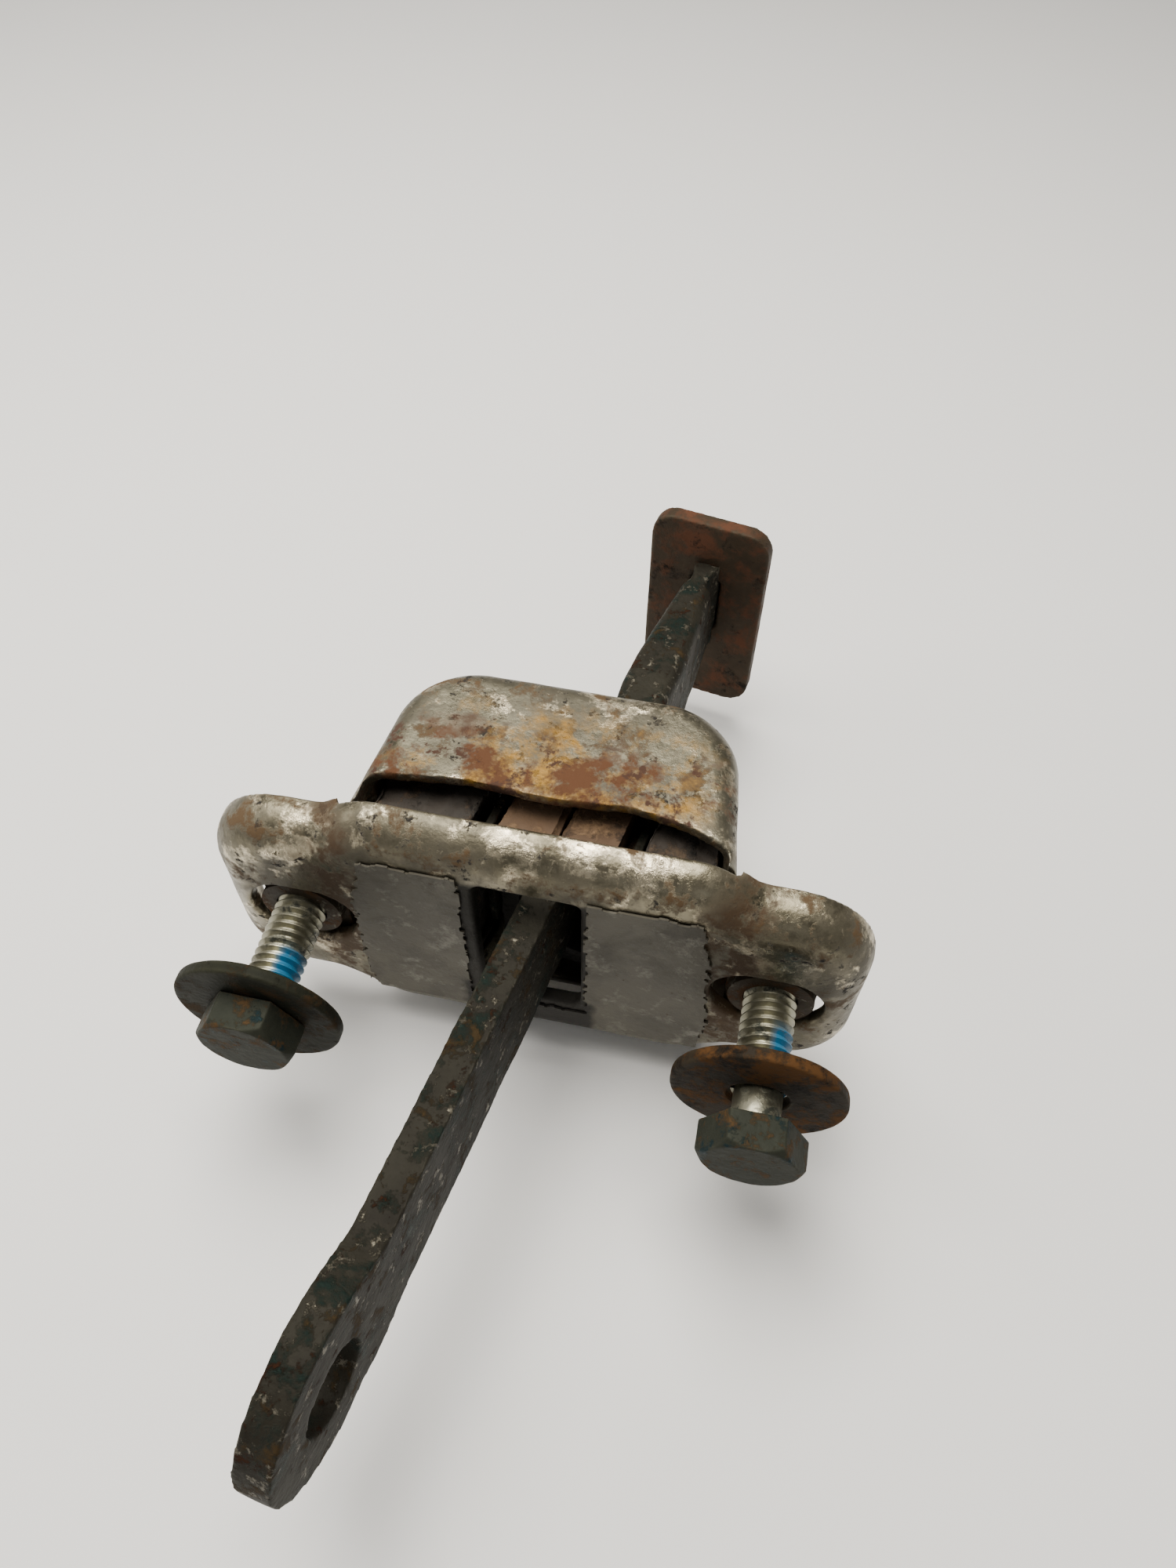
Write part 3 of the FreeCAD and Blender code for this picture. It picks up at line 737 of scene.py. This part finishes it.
class DOORCHECK_OT_mechanism(bpy.types.Operator):
    """Finish the guide, shoes, pressure plates and rubber blocks"""
    bl_idname = "doorcheck.mechanism"
    bl_label = "Gripping Mechanism"

    def execute(self, context):
        for side in SIDES:
            worn_copy("guide_" + side + "_half", "Dusty Block With Shade", cell=0.22 * MM,
                      depth=0.5 * MM, size=2.5 * MM)
            worn_copy(side + "_shoe", "Dusty Block With Shade", cell=0.22 * MM, depth=0.2 * MM,
                      size=2.5 * MM)
            rounded_copy(side + "_pressure_plate", "Dark Steel", 0.2 * MM)
            worn_copy(side + "_rubber_block", "Rubber", cell=0.26 * MM, depth=1.6 * MM,
                      size=3.5 * MM)
        return {"FINISHED"}


# The film's outline in millimetres: (z, x) down each torn side, the gap from and to along X
# and its lower end, and the top and bottom.
FILM_LEFT = ((13.6, -18.0), (5.0, -20.0), (-0.4, -20.1), (-9.8, -20.4), (-14.4, -19.5))
FILM_RIGHT = ((13.6, 18.8), (7.2, 19.9), (1.3, 20.1), (-6.0, 20.9), (-14.4, 20.3))
FILM_GAP = (-7.3, 6.5)
FILM_GAP_LOW = -10.9
FILM_TOP = 13.9
FILM_LOW = -14.2
FILM_WIDTH = 43.0 * MM
FILM_HEIGHT = 29.0 * MM
FILM_LIFT = 0.04 * MM
FILM_THICKNESS = 0.24 * MM


def along(points, height):
    """Sideways place of a torn edge at one height."""
    for (z0, x0), (z1, x1) in zip(points, points[1:]):
        if z1 <= height <= z0:
            return x0 + (x1 - x0) * (z0 - height) / (z0 - z1)
    return points[0][1] if height > points[0][0] else points[-1][1]


def in_film(centre):
    """True where the film covers the plate's face, up to its torn edges."""
    x, z = centre.x / MM, centre.z / MM
    tear = noise.noise(Vector((x * 0.9, 0.0, z * 0.9))) * 0.9
    tear += noise.noise(Vector((x * 2.9, 5.0, z * 2.9))) * 0.35
    if not FILM_LOW + 0.3 * tear < z < FILM_TOP + 0.4 * tear:
        return False
    if not along(FILM_LEFT, z) + 0.8 * tear < x < along(FILM_RIGHT, z) + 0.8 * tear:
        return False
    return not (FILM_GAP[0] + 0.7 * tear < x < FILM_GAP[1] + 0.7 * tear
                and z > FILM_GAP_LOW + 0.4 * tear)


class DOORCHECK_OT_film(bpy.types.Operator):
    """Make the torn film of sealing compound on the plate's face"""
    bl_idname = "doorcheck.film"
    bl_label = "Face Film"

    def execute(self, context):
        cell = context.scene.door_check.film_cell
        bpy.ops.object.select_all(action="DESELECT")
        bpy.ops.mesh.primitive_grid_add(
            x_subdivisions=round(FILM_WIDTH / cell), y_subdivisions=round(FILM_HEIGHT / cell),
            size=1.0, location=(0, -FILM_LIFT, 0), rotation=(math.pi / 2, 0, 0))
        film = bpy.context.object
        film.name = "face_film_shown"
        film.scale = (FILM_WIDTH, FILM_HEIGHT, 1.0)
        bpy.ops.object.transform_apply(location=True, rotation=True, scale=True)
        pick(film, "FACE", lambda centre: not in_film(centre))
        bpy.ops.mesh.delete(type="FACE")
        bpy.ops.mesh.select_all(action="SELECT")
        bpy.ops.mesh.vertices_smooth(factor=0.5, repeat=2)
        bpy.ops.object.mode_set(mode="OBJECT")
        apply_modifier(film, "SOLIDIFY", thickness=FILM_THICKNESS, offset=1.0)
        smooth(film)
        finish_piece(film, "face_film", material("Film Compound"))
        return {"FINISHED"}


THREAD_CREST = 2.95 * MM
THREAD_ROOT = 2.42 * MM
THREAD_DEPTH = THREAD_CREST - THREAD_ROOT
# One turn's outline as steps of (outwards, along the bolt in parts of the pitch).
THREAD_STEPS = (
    (0, 0.12), (THREAD_DEPTH, 0.32), (0, 0.14), (-THREAD_DEPTH, 0.32), (0, 0.10),
)
# Turns beyond the length, which the end cuts take off again.
THREAD_SPARE_TURNS = 4
# The last turns that narrow at the tip, and the share of the width they keep.
THREAD_LEAD = 0.6
THREAD_TIP = 0.86
HEAD_LENGTH = 4.0 * MM
NECK_LENGTH = 4.0 * MM
NECK_OVERLAP = 0.5 * MM
NECK_R = 2.6 * MM
# Where the locking patch starts and ends, counted from the washer's back face.
PATCH_START = -1.0 * MM
PATCH_END = 6.5 * MM


def head_piece(node, head_top):
    """The bolt's head, cut off its CAD copy and softened."""
    head = cad_copy(node, node + "_head")
    edit(head)
    bpy.ops.mesh.select_all(action="SELECT")
    bpy.ops.mesh.bisect(plane_co=(0, head_top, 0), plane_no=(0, 1, 0), use_fill=True,
                        clear_outer=True)
    bpy.ops.object.mode_set(mode="OBJECT")
    weather(head, cell=0.14 * MM, depth=0.10 * MM, size=2.0 * MM, soften=6)
    return head


def neck_piece(node, middle_x, head_top):
    """Plain neck that reaches a little into the head and the thread."""
    bpy.ops.object.select_all(action="DESELECT")
    bpy.ops.mesh.primitive_cylinder_add(
        vertices=48, radius=NECK_R, depth=NECK_LENGTH + 2 * NECK_OVERLAP,
        rotation=(math.pi / 2, 0, 0), location=(middle_x, head_top + NECK_LENGTH / 2, 0))
    neck = bpy.context.object
    bpy.ops.object.transform_apply(location=True, rotation=True, scale=True)
    neck.name = node + "_neck"
    apply_modifier(neck, "BEVEL", width=0.15 * MM, segments=2, limit_method="ANGLE",
                   angle_limit=math.radians(40))
    smooth(neck)
    return neck


def thread_piece(settings, length):
    """Closed length of helical thread, from the origin along +Z."""
    pitch = settings.thread_pitch
    # The outline starts from one point: a tiny plane, merged.
    bpy.ops.object.select_all(action="DESELECT")
    bpy.ops.mesh.primitive_plane_add(size=0.0001, location=(THREAD_ROOT, 0, -2 * pitch))
    obj = bpy.context.object
    bpy.ops.object.transform_apply(location=True, rotation=False, scale=False)
    edit(obj)
    bpy.ops.mesh.select_all(action="SELECT")
    bpy.ops.mesh.merge(type="CENTER")
    for across, up in THREAD_STEPS:
        bpy.ops.mesh.extrude_region_move(
            TRANSFORM_OT_translate={"value": (across, 0, up * pitch)})
    bpy.ops.object.mode_set(mode="OBJECT")
    turns = math.ceil(length / pitch) + THREAD_SPARE_TURNS
    apply_modifier(obj, "SCREW", axis="Z", angle=2 * math.pi, screw_offset=pitch,
                   iterations=turns, steps=settings.thread_steps,
                   render_steps=settings.thread_steps, use_merge_vertices=True,
                   merge_threshold=MERGE_DISTANCE, use_smooth_shade=True)
    edit(obj)
    bpy.ops.mesh.select_all(action="SELECT")
    bpy.ops.mesh.remove_doubles(threshold=MERGE_DISTANCE)
    for height, outwards in ((0.0, -1), (length, 1)):
        bpy.ops.mesh.bisect(plane_co=(0, 0, height), plane_no=(0, 0, outwards),
                            use_fill=True, clear_outer=True)
        bpy.ops.mesh.select_all(action="SELECT")
    bpy.ops.mesh.normals_make_consistent(inside=False)
    pick(obj, "VERT", lambda co: co.z > length - THREAD_LEAD * pitch)
    bpy.ops.transform.resize(value=(THREAD_TIP, THREAD_TIP, 1.0),
                             center_override=(0, 0, length))
    bpy.ops.object.mode_set(mode="OBJECT")
    return obj


def thread_material(side, middle_x, patch_start, patch_end):
    """Silver thread with a blue locking patch on one side."""
    made = fastener("Thread " + side)
    repaint(made, lambda n: group_node(n, "locking", Middle=middle_x, Start=patch_start,
                                       End=patch_end),
            rgb(0.02, 0.16, 0.30), None, 0.1)
    return made


class DOORCHECK_OT_bolts(bpy.types.Operator):
    """Make the two bolts with cut threads and plain necks"""
    bl_idname = "doorcheck.bolts"
    bl_label = "Bolts"

    def execute(self, context):
        settings = context.scene.door_check
        for side in SIDES:
            node = side + "_bolt"
            low, high = (Vector(corner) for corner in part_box(node))
            middle_x = (low.x + high.x) / 2
            head_top = low.y + HEAD_LENGTH
            neck_end = head_top + NECK_LENGTH
            head = head_piece(node, head_top)
            neck = neck_piece(node, middle_x, head_top)
            thread = thread_piece(settings, high.y - neck_end)
            thread.name = node + "_thread"
            thread.rotation_euler = (-math.pi / 2, 0, 0)
            thread.location = (middle_x, neck_end, 0)
            select_only(thread)
            bpy.ops.object.transform_apply(location=True, rotation=True, scale=True)
            smooth(thread, 50)
            finish_piece(head, node, material("Bolt Head"))
            finish_piece(neck, node, material("Fastener"))
            washer_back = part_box(side + "_washer")[1][Y]
            finish_piece(thread, node, thread_material(
                side, middle_x, washer_back + PATCH_START, washer_back + PATCH_END))
        return {"FINISHED"}


class DOORCHECK_OT_washers_and_nuts(bpy.types.Operator):
    """Finish the loose washers and the nuts behind the plate"""
    bl_idname = "doorcheck.washers_and_nuts"
    bl_label = "Washers and Nuts"

    def execute(self, context):
        for side, finish in (("left", "Washer Metal"), ("right", "Rusty Washer")):
            worn_copy(side + "_washer", finish, cell=0.16 * MM, depth=0.10 * MM,
                      size=3.0 * MM, soften=2)
            rounded_copy(side + "_nut", "Rusted Zinc With Shade", 0.25 * MM)
        return {"FINISHED"}


def area_light(name, place, size, power, colour=(1.0, 1.0, 1.0)):
    """Soft rectangular light aimed at the origin."""
    data = bpy.data.lights.new(name, "AREA")
    data.shape = "RECTANGLE"
    data.size, data.size_y = size
    data.energy = power
    data.color = colour
    lamp = bpy.data.objects.new(name, data)
    bpy.context.scene.collection.objects.link(lamp)
    aim = (-Vector(place)).to_track_quat("-Z", "Y")
    lamp.matrix_world = Matrix.Translation(place) @ aim.to_matrix().to_4x4()


FLOOR_Z = -0.0225
FLOOR_SIZE = 3.0
CAMERA_PLACE = (0.01830, -0.05854, 0.11324)
# Degrees: round to the side, down from level, and roll about the line of sight.
CAMERA_SIDE = 11.39
CAMERA_DOWN = 52.905
CAMERA_ROLL = 0.824
CAMERA_LENS = 25.9


class DOORCHECK_OT_stage(bpy.types.Operator):
    """Set the floor, soft lights and camera"""
    bl_idname = "doorcheck.stage"
    bl_label = "Stage"

    def execute(self, context):
        bpy.ops.object.select_all(action="DESELECT")
        bpy.ops.mesh.primitive_plane_add(size=FLOOR_SIZE, location=(0, 0, FLOOR_Z))
        floor = bpy.context.object
        floor.name = "floor"
        bpy.ops.object.transform_apply(location=True, rotation=True, scale=True)
        paper = bpy.data.materials.new("Paper Floor")
        paper.use_nodes = True
        n = Nodes(paper.node_tree)
        shader = n.tree.nodes["Principled BSDF"]
        mottle = n.add("ShaderNodeTexNoise", Scale=40.0, Detail=3.0)
        n.link(n.place(), mottle.inputs["Vector"])
        n.link(n.mix(mottle.outputs[0], rgb(0.93, 0.93, 0.93), rgb(0.95, 0.95, 0.95)),
               shader.inputs["Base Color"])
        shader.inputs["Roughness"].default_value = 0.8
        floor.data.materials.append(paper)
        area_light("Overhead", (-0.06, 0.08, 0.42), size=(0.30, 0.34), power=3.9,
                   colour=(1.0, 0.955, 0.87))
        area_light("Left Window", (-0.45, -0.05, 0.25), size=(0.22, 0.3), power=0.9,
                   colour=(1.0, 0.97, 0.92))
        area_light("Front Fill", (0.12, -0.45, 0.30), size=(0.3, 0.2), power=0.12)
        world = bpy.data.worlds.new("Studio")
        bpy.context.scene.world = world
        world.use_nodes = True
        background = world.node_tree.nodes["Background"]
        background.inputs["Color"].default_value = rgb(1.0, 0.985, 0.95)
        background.inputs["Strength"].default_value = 0.15
        data = bpy.data.cameras.new("Camera")
        data.lens = CAMERA_LENS
        data.sensor_width = 36.0
        data.clip_start = 0.002
        data.clip_end = 10.0
        camera = bpy.data.objects.new("Camera", data)
        bpy.context.scene.collection.objects.link(camera)
        turned = Matrix.Rotation(math.radians(CAMERA_SIDE), 4, "Z")
        turned @= Matrix.Rotation(math.radians(90.0 - CAMERA_DOWN), 4, "X")
        turned @= Matrix.Rotation(math.radians(CAMERA_ROLL), 4, "Z")
        camera.matrix_world = Matrix.Translation(CAMERA_PLACE) @ turned
        bpy.context.scene.camera = camera
        return {"FINISHED"}


OPERATORS = (
    DOORCHECK_OT_plate_and_cover, DOORCHECK_OT_arm, DOORCHECK_OT_mechanism, DOORCHECK_OT_film,
    DOORCHECK_OT_bolts, DOORCHECK_OT_washers_and_nuts, DOORCHECK_OT_stage,
)


class DOORCHECK_PT_panel(bpy.types.Panel):
    """Shows the door check's settings and making steps"""
    bl_label = "Door Check"
    bl_idname = "DOORCHECK_PT_panel"
    bl_space_type = "VIEW_3D"
    bl_region_type = "UI"
    bl_category = "Door Check"

    def draw(self, context):
        settings = context.scene.door_check
        for name in DoorCheckSettings.__annotations__:
            self.layout.prop(settings, name)
        for operator in OPERATORS:
            self.layout.operator(operator.bl_idname)


CLASSES = (DoorCheckSettings,) + OPERATORS + (DOORCHECK_PT_panel,)


def register():
    for cls in CLASSES:
        bpy.utils.register_class(cls)
    bpy.types.Scene.door_check = bpy.props.PointerProperty(type=DoorCheckSettings)


def unregister():
    del bpy.types.Scene.door_check
    for cls in reversed(CLASSES):
        bpy.utils.unregister_class(cls)


def main():
    """Registers the add-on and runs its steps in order."""
    register()
    for operator in OPERATORS:
        group, name = operator.bl_idname.split(".")
        getattr(getattr(bpy.ops, group), name)()


if __name__ == "__main__":
    main()
